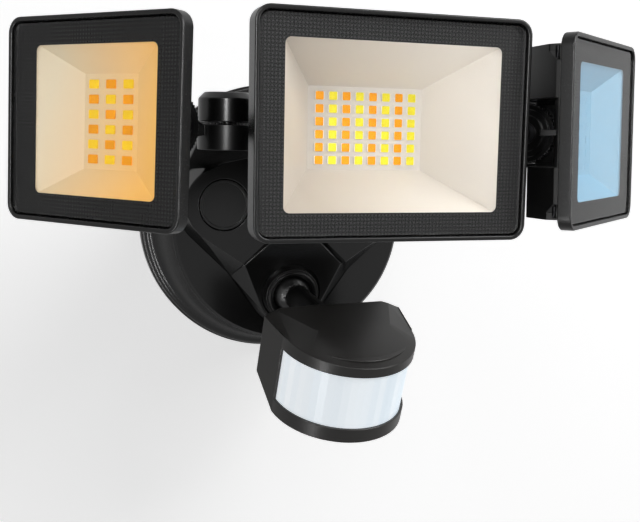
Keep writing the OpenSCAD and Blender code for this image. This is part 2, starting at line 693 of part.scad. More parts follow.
module right_reflector() on_face(RIGHT) reflector(RIGHT);
module left_led_board() on_face(LEFT) led_board(LEFT);
module centre_led_board() on_face(CENTRE) led_board(CENTRE);
module right_led_board() on_face(RIGHT) led_board(RIGHT);
module left_warm_leds() on_face(LEFT) leds(LEFT, true);
module centre_warm_leds() on_face(CENTRE) leds(CENTRE, true);
module right_warm_leds() on_face(RIGHT) leds(RIGHT, true);
module left_cool_leds() on_face(LEFT) leds(LEFT, false);
module centre_cool_leds() on_face(CENTRE) leds(CENTRE, false);
module right_cool_leds() on_face(RIGHT) leds(RIGHT, false);
module left_tilt_bolt() on_lamp(LEFT) tilt_bolt(LEFT);
module centre_tilt_bolt() on_lamp(CENTRE) tilt_bolt(CENTRE);
module right_tilt_bolt() on_lamp(RIGHT) tilt_bolt(RIGHT);
module left_bezel_screws() on_face(LEFT) bezel_screws(LEFT);
module centre_bezel_screws() on_face(CENTRE) bezel_screws(CENTRE);
module right_bezel_screws() on_face(RIGHT) bezel_screws(RIGHT);

// ---- motion sensor ----

shell_t = 2.2;
band_r = lens_r + 1;
low_r = lens_r + 1.5;
lens_top = lens_h / 2 - 1.2;
lens_low = -lens_h / 2 - 1.2;
lens_half_angle = 89;
pin_y = sensor_back_y + 7.4;
pin_z = 12;
barrel_w = 15;
ear_w = 4;
pin_len = barrel_w + 2 * ear_w + 2 * fit_gap;
dial_r = 3.8;
dial_x = [-15, 0, 15];
dial_y = -12;
dial_h = 4;

// Puts a child at the sensor's ball, turned with the stem
module on_ball() translate([0, -ball_y, -ball_z]) rotate([0, 0, sensor_pan]) children();

// Puts a child at the tilt pin
module on_pin() on_ball() rotate([stem_fall, 0, 0]) translate([0, -stem_len, 0])
    rotate([sensor_tilt - stem_fall, 0, 0]) children();

// Puts a child in the sensor's own frame, with the lens axis at x = y = 0
module on_sensor() on_pin() translate([0, -pin_y, -pin_z]) children();

module socket_ring() color(black) translate([0, -ball_y, -ball_z]) rotate(socket_dir)
    difference() {
        union() {
            translate([0, 0, socket_face - 1.6]) cylinder(r = ring_out, h = ring_t);
            translate([0, 0, socket_face]) cylinder(r = ring_out - 1.4, h = ring_t);
        }
        sphere(r = ball_r + fit_gap);
        translate([0, 0, socket_face + 2]) cylinder(r1 = ball_r - 1.4, r2 = ball_r + 1, h = ring_t - 2 + eps);
    }

module sensor_stem() color(black) on_ball() {
    difference() {
        union() {
            sphere(r = ball_r);
            rotate([90 + stem_fall, 0, 0]) cylinder(r = stem_r, h = stem_len);
            rotate([stem_fall, 0, 0]) translate([0, -stem_len, 0])
                rotate([0, 90, 0]) cylinder(r = stem_r + 0.6, h = barrel_w, center = true);
        }
        rotate([stem_fall, 0, 0]) translate([0, -stem_len, 0])
            rotate([0, 90, 0]) cylinder(r = pin_r + run_gap, h = 2 * barrel_w, center = true);
    }
}

// Plan outline of the sensor head: round in front, wider at its back
module sensor_plan(r, cheek, back) {
    intersection() {
        circle(r, $fn = 96);
        translate([-r, -r]) square([2 * r, r + 6]);
    }
    polygon([[-r, 0], [r, 0], [cheek, back - 3], [cheek - 3, back], [-cheek + 3, back], [-cheek, back - 3]]);
}

// Side outline of the sensor head, cut away at the lower back
module sensor_side(grow = 0) translate([-60, 0, 0]) rotate([90, 0, 90]) linear_extrude(120)
    polygon([[-60, -sensor_low], [0, -sensor_low], [sensor_back_y + grow, -6], [sensor_back_y + grow, 40], [-60, 40]]);

module sensor_body() {
    intersection() {
        translate([0, 0, -sensor_low]) linear_extrude(sensor_low + lens_top + 7)
            sensor_plan(low_r, cheek_x, sensor_back_y);
        sensor_side();
    }
    hull() {
        translate([0, 0, lens_top + 7 - eps]) linear_extrude(eps) sensor_plan(low_r, cheek_x, sensor_back_y);
        translate([0, 0, hood_z - eps]) linear_extrude(eps)
            sensor_plan(lens_r - 10, cheek_x - 6.5, sensor_back_y);
    }
}

module sensor_shell() color(dark) on_sensor() difference() {
    sensor_body();
    // inside of the shell
    intersection() {
        translate([0, 0, -sensor_low + shell_t]) linear_extrude(sensor_low + lens_top + 7 - shell_t)
            sensor_plan(lens_r - 2.4, cheek_x - shell_t - 1, sensor_back_y + 1);
        translate([0, -shell_t, 0]) sensor_side(20);
    }
    // window of the lens
    translate([0, 0, lens_low]) linear_extrude(lens_h) intersection() {
        circle(r = low_r + 3);
        translate([-60, -120 - lens_r * cos(lens_half_angle)]) square([120, 120]);
    }
    // groove that holds the lens
    translate([0, 0, lens_low - 1]) rotate([0, 0, 270 - lens_half_angle - 3])
        rotate_extrude(angle = 2 * lens_half_angle + 6)
        translate([lens_r - 1.4, 0]) square([1.5, lens_h + 2]);
    for (x = dial_x) translate([x, dial_y, -sensor_low - 1]) cylinder(r = dial_r + fit_gap, h = shell_t + 2);
}

module sensor_lens() color([0.93, 0.96, 1, 0.8]) on_sensor()
    translate([0, 0, lens_low - 0.8]) rotate([0, 0, 270 - lens_half_angle - 2])
    rotate_extrude(angle = 2 * lens_half_angle + 4, $fn = 128)
    translate([lens_r - 1.2, 0]) square([1.2, lens_h + 1.6]);

module sensor_back() color(dark) on_sensor() difference() {
    union() {
        intersection() {
            translate([0, 0, -sensor_low + shell_t + fit_gap])
                linear_extrude(sensor_low + lens_top + 7 - shell_t - 2 * fit_gap)
                sensor_plan(lens_r - 2.8, cheek_x - shell_t - 1.6, sensor_back_y);
            difference() {
                translate([0, -shell_t - 0.2, 0]) sensor_side(shell_t + 0.2);
                translate([0, -2 * shell_t - 0.4, 0]) sensor_side(shell_t + 0.2);
            }
        }
        // posts that carry the sensor's board
        for (x = [-20, 20], z = [-2, 10]) translate([x, sensor_back_y - 1, z]) rotate([90, 0, 0])
            cylinder(r = 2.2, h = sensor_back_y - 1 - sensor_board_y - board_t);
        // ears for the tilt pin
        for (s = [-1, 1]) translate([s * (barrel_w / 2 + fit_gap + ear_w / 2), 0, 0]) {
            translate([0, pin_y, pin_z]) rotate([0, 90, 0])
                cylinder(r = stem_r, h = ear_w, center = true);
            translate([-ear_w / 2, sensor_back_y - 1, pin_z - stem_r]) cube([ear_w, 9, 2 * stem_r]);
        }
    }
    translate([0, pin_y, pin_z]) rotate([0, 90, 0]) cylinder(r = pin_r + 0.1, h = 60, center = true);
}

sensor_board_y = 4;

module sensor_pin() color(zinc) on_pin() rotate([0, 90, 0]) {
    cylinder(r = pin_r, h = pin_len + 1, center = true);
    for (s = [-1, 1]) translate([0, 0, s * (pin_len / 2 + 0.9)])
        cylinder(r = pin_r + 1.6, h = 1.4, center = true);
}

module sensor_board() color(board_green) on_sensor()
    translate([-24, sensor_board_y, -12]) cube([48, board_t, 26]);

module pir_element() color(zinc) on_sensor() translate([0, sensor_board_y, 0]) rotate([90, 0, 0]) {
    cylinder(r = 4.6, h = 4);
    cylinder(r = 5, h = 0.8);
}

module dial(k) color(dark) on_sensor() translate([dial_x[k], dial_y, -sensor_low + 0.3]) difference() {
    union() {
        linear_extrude(dial_h) toothed(dial_r, 0.4, 18);
        translate([0, 0, shell_t]) cylinder(r = dial_r + 1.4, h = 1);
    }
    translate([-0.5, -dial_r + 1, -1]) cube([1, 2 * dial_r - 2, 2]);
}
module time_dial() dial(0);
module light_dial() dial(1);
module range_dial() dial(2);

base_dish();
wall_gasket();
wall_plate();
arm_carrier();
fixing_screws();
screw_caps();
carrier_screws();
driver_board();
driver_parts();
terminal_block();
pan_bolts();
socket_ring();
sensor_stem();
sensor_shell();
sensor_back();
sensor_lens();
sensor_board();
pir_element();
sensor_pin();
time_dial();
light_dial();
range_dial();
left_swivel();
centre_swivel();
right_swivel();
left_housing();
centre_housing();
right_housing();
left_bezel();
centre_bezel();
right_bezel();
left_glass();
centre_glass();
right_glass();
left_mask();
centre_mask();
right_mask();
left_seal();
centre_seal();
right_seal();
left_reflector();
centre_reflector();
right_reflector();
left_led_board();
centre_led_board();
right_led_board();
left_warm_leds();
centre_warm_leds();
right_warm_leds();
left_cool_leds();
centre_cool_leds();
right_cool_leds();
left_tilt_bolt();
centre_tilt_bolt();
right_tilt_bolt();
left_bezel_screws();
centre_bezel_screws();
right_bezel_screws();
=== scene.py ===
"""Wall-mounted security floodlight: three lamps on pan and tilt knuckles and a motion sensor."""

import json
import math
import bmesh
import bpy
from mathutils import Matrix, Vector


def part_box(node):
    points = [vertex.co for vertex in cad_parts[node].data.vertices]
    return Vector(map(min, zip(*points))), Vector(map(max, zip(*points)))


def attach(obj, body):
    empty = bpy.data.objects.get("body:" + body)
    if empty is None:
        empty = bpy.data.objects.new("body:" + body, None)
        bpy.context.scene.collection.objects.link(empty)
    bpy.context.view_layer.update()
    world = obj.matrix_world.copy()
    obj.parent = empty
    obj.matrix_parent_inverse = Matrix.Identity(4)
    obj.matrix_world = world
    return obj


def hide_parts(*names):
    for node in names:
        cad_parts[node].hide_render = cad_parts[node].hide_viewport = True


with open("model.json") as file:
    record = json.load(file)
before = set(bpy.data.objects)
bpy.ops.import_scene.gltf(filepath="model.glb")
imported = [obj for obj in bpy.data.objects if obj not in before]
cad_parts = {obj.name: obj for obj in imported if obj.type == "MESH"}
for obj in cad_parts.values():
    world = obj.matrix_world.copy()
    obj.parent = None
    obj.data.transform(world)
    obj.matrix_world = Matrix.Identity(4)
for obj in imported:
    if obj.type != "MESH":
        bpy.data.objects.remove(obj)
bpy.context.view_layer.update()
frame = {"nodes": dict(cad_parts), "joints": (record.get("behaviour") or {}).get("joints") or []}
bpy.ops.object.select_all(action="DESELECT")
scene = bpy.context.scene
scene.view_settings.view_transform = "Standard"
mm = 0.001

# ---- camera ----
# It stands about half a metre in front, left of the floodlight and a little above its middle,
# and looks slightly down.

eye = Vector((-152.40, -543.97, 53.04)) * mm
yaw, pitch, roll = math.radians(-18.75), math.radians(7.96), math.radians(1.39)
ahead = Vector((-math.sin(yaw) * math.cos(pitch), math.cos(yaw) * math.cos(pitch),
                -math.sin(pitch)))
level_right = ahead.cross(Vector((0, 0, 1))).normalized()
level_up = level_right.cross(ahead)
right = math.cos(roll) * level_right + math.sin(roll) * level_up
up = math.cos(roll) * level_up - math.sin(roll) * level_right
camera = bpy.data.objects.new("camera", bpy.data.cameras.new("camera"))
camera.data.lens = 54.77
camera.data.sensor_width = 36
camera.matrix_world = (Matrix.Translation(eye)
                       @ Matrix((right, up, -ahead)).transposed().to_4x4())
scene.collection.objects.link(camera)
scene.camera = camera

# ---- wall, world and lights ----
# A plain white wall carries the floodlight and keeps its shadow. The light is that of a plain
# studio: a large soft lamp at the upper right, a weaker one at the left, and narrow strips that
# only show in gloss, as upright highlights on round parts.


def linear(hex_colour):
    """An sRGB hex colour as the linear colour that a node takes."""
    channels = [int(hex_colour[i:i + 2], 16) / 255 for i in (1, 3, 5)]
    return [c / 12.92 if c <= 0.04045 else ((c + 0.055) / 1.055) ** 2.4 for c in channels] + [1.0]


def add(tree, kind, settings=(), links=()):
    """Adds one node with its settings, and links sockets into it."""
    node = tree.nodes.new(kind)
    for key, value in dict(settings).items():
        if isinstance(key, str) and hasattr(node, key):
            setattr(node, key, value)
        else:
            node.inputs[key].default_value = value
    for key, source in dict(links).items():
        tree.links.new(source, node.inputs[key])
    return node


def new_material(name):
    """An empty material, for nodes to be added."""
    material = bpy.data.materials.new(name)
    material.use_nodes = True
    material.node_tree.nodes.clear()
    return material


# The world is white behind the wall's edges, dim as light, and grey in gloss.
ambient, in_gloss = 0.1, 0.5
world = bpy.data.worlds.new("studio")
scene.world = world
world.use_nodes = True
world.node_tree.nodes.clear()
path = add(world.node_tree, "ShaderNodeLightPath")
level = add(world.node_tree, "ShaderNodeMapRange", {"To Min": ambient, "To Max": in_gloss},
            {"Value": path.outputs["Is Glossy Ray"]})
strength = add(world.node_tree, "ShaderNodeMath", {"operation": "MAXIMUM"},
               {0: level.outputs[0], 1: path.outputs["Is Camera Ray"]})
sky = add(world.node_tree, "ShaderNodeBackground", {"Color": (1, 1, 1, 1)},
          {"Strength": strength.outputs[0]})
add(world.node_tree, "ShaderNodeOutputWorld", (), {"Surface": sky.outputs[0]})

# Matt paint scatters all its light. It is lifted to white for the camera, and less so in gloss,
# and still shows the shadow.
lift_seen, lift_in_gloss = 0.64, 0.28
wall_size, wall_y = 8, 1 * mm
plaster = new_material("matt white wall paint")
tree = plaster.node_tree
paint = add(tree, "ShaderNodeBsdfDiffuse", {"Color": linear("#f4f4f4")})
path = add(tree, "ShaderNodeLightPath")
seen = add(tree, "ShaderNodeMath", {"operation": "MULTIPLY", 1: lift_seen},
           {0: path.outputs["Is Camera Ray"]})
mirrored = add(tree, "ShaderNodeMath", {"operation": "MULTIPLY", 1: lift_in_gloss},
               {0: path.outputs["Is Glossy Ray"]})
lift = add(tree, "ShaderNodeMath", {"operation": "MAXIMUM"},
           {0: seen.outputs[0], 1: mirrored.outputs[0]})
bright = add(tree, "ShaderNodeEmission", {"Color": (1, 1, 1, 1)}, {"Strength": lift.outputs[0]})
both = add(tree, "ShaderNodeAddShader", (), {0: paint.outputs[0], 1: bright.outputs[0]})
add(tree, "ShaderNodeOutputMaterial", (), {"Surface": both.outputs[0]})
bpy.ops.mesh.primitive_plane_add(size=wall_size, location=(0, wall_y, 0),
                                 rotation=(math.pi / 2, 0, 0))
wall = bpy.context.object
wall.name = "wall"
wall.data.materials.append(plaster)


def area_light(name, place, target, size, power, only_gloss=False):
    """A rectangular lamp that faces its target, in metres and watts. One that is only for gloss
    is seen in the black coats and in the glass, and lights nothing."""
    light = bpy.data.lights.new(name, "AREA")
    light.shape = "RECTANGLE"
    light.size, light.size_y = size
    light.energy = power
    holder = bpy.data.objects.new(name, light)
    scene.collection.objects.link(holder)
    holder.location = place
    holder.rotation_euler = (Vector(target) - Vector(place)).to_track_quat("-Z", "Y").to_euler()
    holder.visible_diffuse = holder.visible_transmission = not only_gloss


area_light("key", (0.9, -1.0, 1.0), (0, -0.08, 0), (1.0, 1.0), 14)
area_light("fill", (-1.3, -1.0, 0.45), (0, -0.1, 0), (0.6, 1.0), 1.5)
area_light("strip_right", (0.95, -0.95, 0.2), (0, -0.1, 0), (0.08, 0.9), 4, True)
area_light("strip_middle", (-0.34, -1.2, 0.35), (-0.05, -0.1, 0.02), (0.14, 0.7), 8, True)
area_light("strip_left", (-0.75, -1.0, 0.3), (-0.05, -0.1, 0.02), (0.08, 0.8), 1.5, True)
area_light("strip_low", (-1.1, -0.85, -0.6), (-0.05, 0, -0.03), (0.12, 0.9), 6, True)

# ---- wall plate and the parts inside the base ----
# A zinc plated steel plate goes on the electrical box. Behind the base sit a driver board, a
# white nylon terminal block and a ring of closed-cell foam that seals against the wall.


def coated(name, colours, roughness, grain, height, metallic=0.0):
    """A finish with a fine grain of that size and height in its gloss and relief, and with slow
    changes between its two colours."""
    cloud = 30 * mm
    material = new_material(name)
    tree = material.node_tree
    place = add(tree, "ShaderNodeTexCoord").outputs["Object"]
    fine = add(tree, "ShaderNodeTexNoise", {"Scale": 1 / grain, "Detail": 3.0}, {"Vector": place})
    slow = add(tree, "ShaderNodeTexNoise", {"Scale": 1 / cloud, "Detail": 2.0}, {"Vector": place})
    tint = add(tree, "ShaderNodeMix",
               {"data_type": "RGBA", 6: linear(colours[0]), 7: linear(colours[1])},
               {0: slow.outputs["Fac"]})
    gloss = add(tree, "ShaderNodeMapRange", {"To Min": roughness[0], "To Max": roughness[1]},
                {"Value": fine.outputs["Fac"]})
    relief = add(tree, "ShaderNodeBump", {"Strength": 1.0, "Distance": height},
                 {"Height": fine.outputs["Fac"]})
    surface = add(tree, "ShaderNodeBsdfPrincipled", {"Metallic": metallic},
                  {"Base Color": tint.outputs[2], "Roughness": gloss.outputs[0],
                   "Normal": relief.outputs[0]})
    add(tree, "ShaderNodeOutputMaterial", (), {"Surface": surface.outputs[0]})
    return material


def dress(material, *nodes):
    """Gives solids of the frame their finish."""
    for node in nodes:
        slots = frame["nodes"][node].data.materials
        slots.clear()
        slots.append(material)


# Zinc plating is a cool grey that mirrors softly. The black kind is passivated and duller.
zinc = coated("zinc plated steel", ("#b3b5b4", "#9c9fa0"), (0.28, 0.42), 0.6 * mm, 0.004 * mm,
              metallic=1.0)
black_zinc = coated("black zinc plated steel", ("#17171a", "#222225"), (0.3, 0.42), 0.6 * mm,
                    0.004 * mm, metallic=0.6)
# Foam is dead matt, with open pores on its cut faces.
foam = coated("closed-cell foam", ("#1d1d1d", "#282828"), (0.85, 0.95), 0.5 * mm, 0.08 * mm)
# Solder mask is a smooth green skin. The moulded cases on it are a duller black.
circuit = coated("green solder mask", ("#1f5a35", "#256b40"), (0.3, 0.45), 1.5 * mm, 0.01 * mm)
epoxy = coated("black epoxy", ("#1a1a1b", "#242425"), (0.35, 0.5), 0.4 * mm, 0.01 * mm)
# Moulded nylon is a creamy white with a faint waxy sheen.
nylon = coated("white nylon", ("#dedcd3", "#e8e6de"), (0.45, 0.55), 0.5 * mm, 0.01 * mm)
dress(zinc, "wall_plate", "fixing_screws", "carrier_screws", "pan_bolts", "sensor_pin",
      "pir_element")
dress(foam, "wall_gasket")
dress(circuit, "driver_board", "sensor_board")
dress(epoxy, "driver_parts")
dress(nylon, "terminal_block")

# ---- base dish ----
# The round canopy is die-cast aluminium in satin black powder coat. It is turned here from its
# section: a rim with two fine grooves, a hollow cove, and a flat face under the carrier.

base_r, base_depth, face_r, rim_h = 75 * mm, 42 * mm, 62.5 * mm, 6 * mm
dish_wall, foot_w, socket_r = 2.6 * mm, 5 * mm, 1 * mm
edge_round, rim_round = 0.6 * mm, 0.8 * mm
touching = 0.001 * mm
# Baked powder leaves a fine orange peel, drawn a little coarser here so that it shows: a wide
# soft highlight on deep black. The canopy and the carrier have the finer, glossier kind.
powder = coated("satin black powder coat", ("#141414", "#191919"), (0.26, 0.36), 0.5 * mm,
                0.008 * mm)
powder_soft = coated("fine black powder coat", ("#141414", "#191919"), (0.2, 0.28), 0.4 * mm,
                     0.004 * mm)


def finish(piece, name, material, body, nodes, width=0.0, sharp=35, smooth=40):
    """Rounds the edges over the sharp angle to that width, smooths what turns less than the
    smooth angle, and puts the piece in its body in place of its nodes."""
    piece.name = piece.data.name = name
    piece.data.materials.clear()
    piece.data.materials.append(material)
    if width:
        edge = piece.modifiers.new("edge", "BEVEL")
        edge.width = width
        edge.segments = 3
        edge.limit_method = "ANGLE"
        edge.angle_limit = math.radians(sharp)
        edge.use_clamp_overlap = False
        bpy.ops.object.modifier_apply(modifier=edge.name)
    bpy.ops.object.shade_smooth_by_angle(angle=math.radians(smooth))
    flat = piece.modifiers.new("flat", "WEIGHTED_NORMAL")
    flat.keep_sharp = True
    bpy.ops.object.modifier_apply(modifier=flat.name)
    if nodes:
        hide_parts(*nodes)
    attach(piece, body)
    piece.select_set(False)
    return piece


def turn_profile(profile, sides=128):
    """Turns a closed section of radii and distances from the wall into a ring."""
    first_r, first_y = profile[0]
    bpy.ops.mesh.primitive_circle_add(vertices=sides, radius=first_r, location=(0, -first_y, 0),
                                      rotation=(math.pi / 2, 0, 0))
    bpy.ops.object.transform_apply(location=True, rotation=True, scale=True)
    piece = bpy.context.object
    bpy.ops.object.mode_set(mode="EDIT")
    at_r, at_y = first_r, first_y
    for next_r, next_y in profile[1:] + [profile[0]]:
        bpy.ops.mesh.extrude_edges_move()
        scale = next_r / at_r
        bpy.ops.transform.resize(value=(scale, 1, scale), center_override=(0, 0, 0))
        bpy.ops.transform.translate(value=(0, at_y - next_y, 0))
        at_r, at_y = next_r, next_y
    bpy.ops.mesh.select_all(action="SELECT")
    bpy.ops.mesh.remove_doubles(threshold=touching)
    bpy.ops.mesh.normals_make_consistent(inside=False)
    bpy.ops.object.mode_set(mode="OBJECT")
    return piece


face = [(face_r - edge_round, base_depth), (face_r, base_depth - edge_round)]
cove_steps = 16
cove_r, cove_y = face_r + 0.8 * mm, rim_h + 5 * mm
cove_w, cove_h = base_r - face_r - 3.4 * mm, base_depth - rim_h - 6.4 * mm
cove = []
for step in range(cove_steps, -1, -1):
    turn = math.radians(90 * step / cove_steps)
    cove.append((cove_r + cove_w * (1 - math.sin(turn)), cove_y + cove_h * (1 - math.cos(turn))))
upper_groove, lower_groove = base_r - 1.2 * mm, base_r - 1.8 * mm
rim = [(base_r - 1.6 * mm, rim_h + 4 * mm), (upper_groove, rim_h + 3.2 * mm),
       (upper_groove, rim_h + 1.4 * mm), (lower_groove, rim_h + 1 * mm),
       (lower_groove, rim_h + 0.5 * mm), (base_r - rim_round, rim_h),
       (base_r, rim_h - rim_round), (base_r, 0.0), (base_r - foot_w, 0.0)]
hollow = [(base_r - foot_w, rim_h + 5 * mm), (face_r - dish_wall, rim_h + 9 * mm),
          (face_r - dish_wall, base_depth - dish_wall), (socket_r, base_depth - dish_wall),
          (socket_r, base_depth)]
dish = turn_profile(face + cove + rim + hollow)
finish(dish, "canopy", powder_soft, "base", ["base_dish"])

# ---- carrier, knuckles and housings ----
# These are die-cast and powder coated too, so their edges are soft. Each one is a merged copy of
# its solid with rounded edges. Bolts and screws of black zinc hold them together.

# Width, height and depth of each lamp in millimetres, and how far it is tilted in degrees.
sizes = {"left": (92, 81, 6.4), "centre": (117, 90, 10), "right": (92, 81, 6.4)}
tilt_now = {"left": -2.0, "centre": -1.0, "right": -2.0}
heads = tuple(sizes)
hinges = {joint["name"]: joint for joint in frame["joints"]}


def casting(node, move=None):
    """A merged copy of a solid, ready to be finished. Its flat faces are joined again, unless
    its points are moved, because then they may not be flat."""
    mesh = frame["nodes"][node].data.copy()
    for point in mesh.vertices if move else ():
        point.co = move(point.co)
    piece = bpy.data.objects.new(node + "_casting", mesh)
    scene.collection.objects.link(piece)
    bpy.context.view_layer.objects.active = piece
    piece.select_set(True)
    bpy.ops.object.mode_set(mode="EDIT")
    bpy.ops.mesh.select_all(action="SELECT")
    bpy.ops.mesh.remove_doubles(threshold=touching)
    if not move:
        bpy.ops.mesh.dissolve_limited(angle_limit=math.radians(0.5))
    bpy.ops.object.mode_set(mode="OBJECT")
    return piece


def lamp_place(head):
    """Where a lamp stands: x to its side, y into it, z up, from the middle of its glass."""
    low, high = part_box(f"{head}_glass")
    axis = hinges[f"{head}_tilt"]["axis"]
    return (Matrix.Translation((low + high) / 2)
            @ Matrix.Rotation(math.atan2(axis[1], axis[0]), 4, "Z")
            @ Matrix.Rotation(math.radians(tilt_now[head]), 4, "X"))


def pick(faces=None, edges=None):
    """Selects only the faces or edges of the edited mesh that pass a test."""
    bpy.ops.mesh.select_mode(type="FACE" if faces else "EDGE")
    work = bmesh.from_edit_mesh(bpy.context.object.data)
    for group in (work.verts, work.edges, work.faces):
        for item in group:
            item.select = False
    chosen = [f for f in work.faces if faces and faces(f.calc_center_median(), f.normal)]
    chosen += [e for e in work.edges if edges and edges(e)]
    for item in chosen:
        item.select_set(True)
    work.select_flush_mode()
    bmesh.update_edit_mesh(bpy.context.object.data)


def facing(side):
    """A test for faces that look to the front, where the side is -1, or to the back, where 1."""
    return lambda centre, normal: normal.y * side > 0.9


def tucked(head):
    """Presses the screw lugs beside a lamp's housing against its wall, behind the frame."""
    housing_inset, lug_end, kept = 6.5 * mm, 8.2 * mm, 0.2
    wall_x = sizes[head][0] / 2 * mm - housing_inset
    place = lamp_place(head)

    def move(at):
        own = place.inverted() @ at
        out = abs(own.x) - wall_x
        if out > 0 and own.y < lug_end:
            own.x = math.copysign(wall_x + kept * out, own.x)
        return place @ own

    return move


finish(casting("arm_carrier"), "arm_casting", powder_soft, "base",
       ["arm_carrier"], 0.5 * mm, sharp=25)
for head in heads:
    finish(casting(f"{head}_swivel"), f"{head}_knuckle", powder, f"{head}_swivel",
           [f"{head}_swivel"], 0.35 * mm)
    finish(casting(f"{head}_housing", tucked(head)), f"{head}_heat_sink", powder, f"{head}_lamp",
           [f"{head}_housing"], 0.3 * mm)
    finish(casting(f"{head}_bezel_screws", tucked(head)), f"{head}_frame_screws", black_zinc,
           f"{head}_lamp", [f"{head}_bezel_screws"])
    dress(black_zinc, f"{head}_tilt_bolt")

# The plugs on the carrier's face have a raised ring, with their middle sunk a little.
plug_ring, plug_sunk = 1.3 * mm, 0.5 * mm
plugs = casting("screw_caps")
bpy.ops.object.mode_set(mode="EDIT")
pick(faces=facing(-1))
bpy.ops.mesh.inset(thickness=plug_ring)
bpy.ops.mesh.extrude_region_move(TRANSFORM_OT_translate={"value": (0, plug_sunk, 0)})
bpy.ops.object.mode_set(mode="OBJECT")
finish(plugs, "hole_plugs", powder, "base", ["screw_caps"], 0.2 * mm)

# A cast web behind the right lamp's inner ear closes the channel above and below its disc.
web_size, web_shift = Vector((4.4, 9, 30.6)) * mm, Vector((0.8, 1.1, 0)) * mm
hinge_at = lamp_place("right").inverted() @ Vector(hinges["right_tilt"]["pos_m"])
bpy.ops.mesh.primitive_cube_add(size=1, location=hinge_at + web_shift, scale=web_size)
bpy.ops.object.transform_apply(location=True, rotation=True, scale=True)
web = bpy.context.object
web.data.transform(lamp_place("right"))
finish(web, "right_ear_web", powder, "right_lamp", [], 0.4 * mm)

finish(casting("socket_ring"), "socket_collar", powder, "base", ["socket_ring"],
       0.3 * mm)
finish(casting("sensor_stem"), "ball_stem", powder, "sensor_arm", ["sensor_stem"],
       0.4 * mm)

# ---- bezels ----
# Each lamp's front frame is moulded in semi-gloss black plastic. A round lip stands round a
# recess for the glass. It is modelled about the middle of the glass and then put in place.

lip, recess, frame_wall = 1.9 * mm, 4 * mm, 1.9 * mm
lip_drop, shelf, shelf_thick = 0.6 * mm, 4.2 * mm, 1.6 * mm
corner_r, glass_mid = 6.5 * mm, 2.6 * mm
# Polished moulds give ABS a smooth skin and a narrow, clear highlight along the lip.
abs_black = coated("semi-gloss black ABS", ("#101010", "#141414"), (0.22, 0.3), 0.6 * mm,
                   0.003 * mm)


def along_y(edge):
    """Whether an edge runs straight from the front to the back."""
    a, b = (vert.co for vert in edge.verts)
    return abs(a.x - b.x) < touching and abs(a.z - b.z) < touching


def lamp_bezel(width, height, depth):
    """A frame with a recess from the front, one from the back, and a shelf between them."""
    front = lip_drop - glass_mid
    depth -= lip_drop
    bpy.ops.mesh.primitive_cube_add(size=1, location=(0, front + depth / 2, 0),
                                    scale=(width, depth, height))
    bpy.ops.object.transform_apply(location=True, rotation=True, scale=True)
    bpy.ops.object.mode_set(mode="EDIT")
    pick(edges=along_y)
    bpy.ops.mesh.bevel(offset=corner_r, segments=10, affect="EDGES")
    for_glass = (-1, lip, recess, shelf)
    for_housing = (1, frame_wall, recess + shelf_thick - depth, lip + shelf - frame_wall)
    for side, rim_w, inward, ledge in (for_glass, for_housing):
        pick(faces=facing(side))
        bpy.ops.mesh.inset(thickness=rim_w)
        bpy.ops.mesh.extrude_region_move(TRANSFORM_OT_translate={"value": (0, inward, 0)})
        bpy.ops.mesh.inset(thickness=ledge)
        bpy.ops.mesh.delete(type="FACE")
    pick(edges=lambda edge: edge.is_boundary)
    bpy.ops.mesh.bridge_edge_loops()
    bpy.ops.mesh.select_all(action="SELECT")
    bpy.ops.mesh.normals_make_consistent(inside=False)
    bpy.ops.object.mode_set(mode="OBJECT")
    return bpy.context.object


for head in heads:
    width, height, depth = (value * mm for value in sizes[head])
    bezel = lamp_bezel(width, height, depth)
    bezel.data.transform(lamp_place(head))
    finish(bezel, f"{head}_frame", abs_black, f"{head}_lamp", [f"{head}_bezel"],
           0.6 * mm)

# ---- glass and its printed border ----
# Clear tempered glass lies in each recess. A black border with a fine mesh of dots is screen
# printed on its back, and a silicone cord seals it.

# The glass is colourless. Its IOR is low, so that it mirrors as little as a coated pane, and
# light for the funnel passes straight through it.
clear = new_material("clear tempered glass")
tree = clear.node_tree
path = add(tree, "ShaderNodeLightPath")
pane = add(tree, "ShaderNodeBsdfPrincipled", {"Base Color": (1, 1, 1, 1), "Roughness": 0.0,
                                              "IOR": 1.22, "Transmission Weight": 1.0})
through = add(tree, "ShaderNodeBsdfTransparent", {"Color": (1, 1, 1, 1)})
lit = add(tree, "ShaderNodeMixShader", (),
          {0: path.outputs["Is Shadow Ray"], 1: pane.outputs[0], 2: through.outputs[0]})
add(tree, "ShaderNodeOutputMaterial", (), {"Surface": lit.outputs[0]})
# Silicone is a soft, dull black.
silicone = coated("black silicone", ("#1c1c1c", "#222222"), (0.6, 0.7), 0.5 * mm, 0.01 * mm)


def own_axes(tree, place):
    """Object coordinates turned to a piece's own axes, in metres from its own middle."""
    coordinates = add(tree, "ShaderNodeTexCoord")
    return add(tree, "ShaderNodeMapping",
               {"vector_type": "TEXTURE", "Location": place.to_translation(),
                "Rotation": place.to_euler()},
               {"Vector": coordinates.outputs["Object"]}).outputs[0]


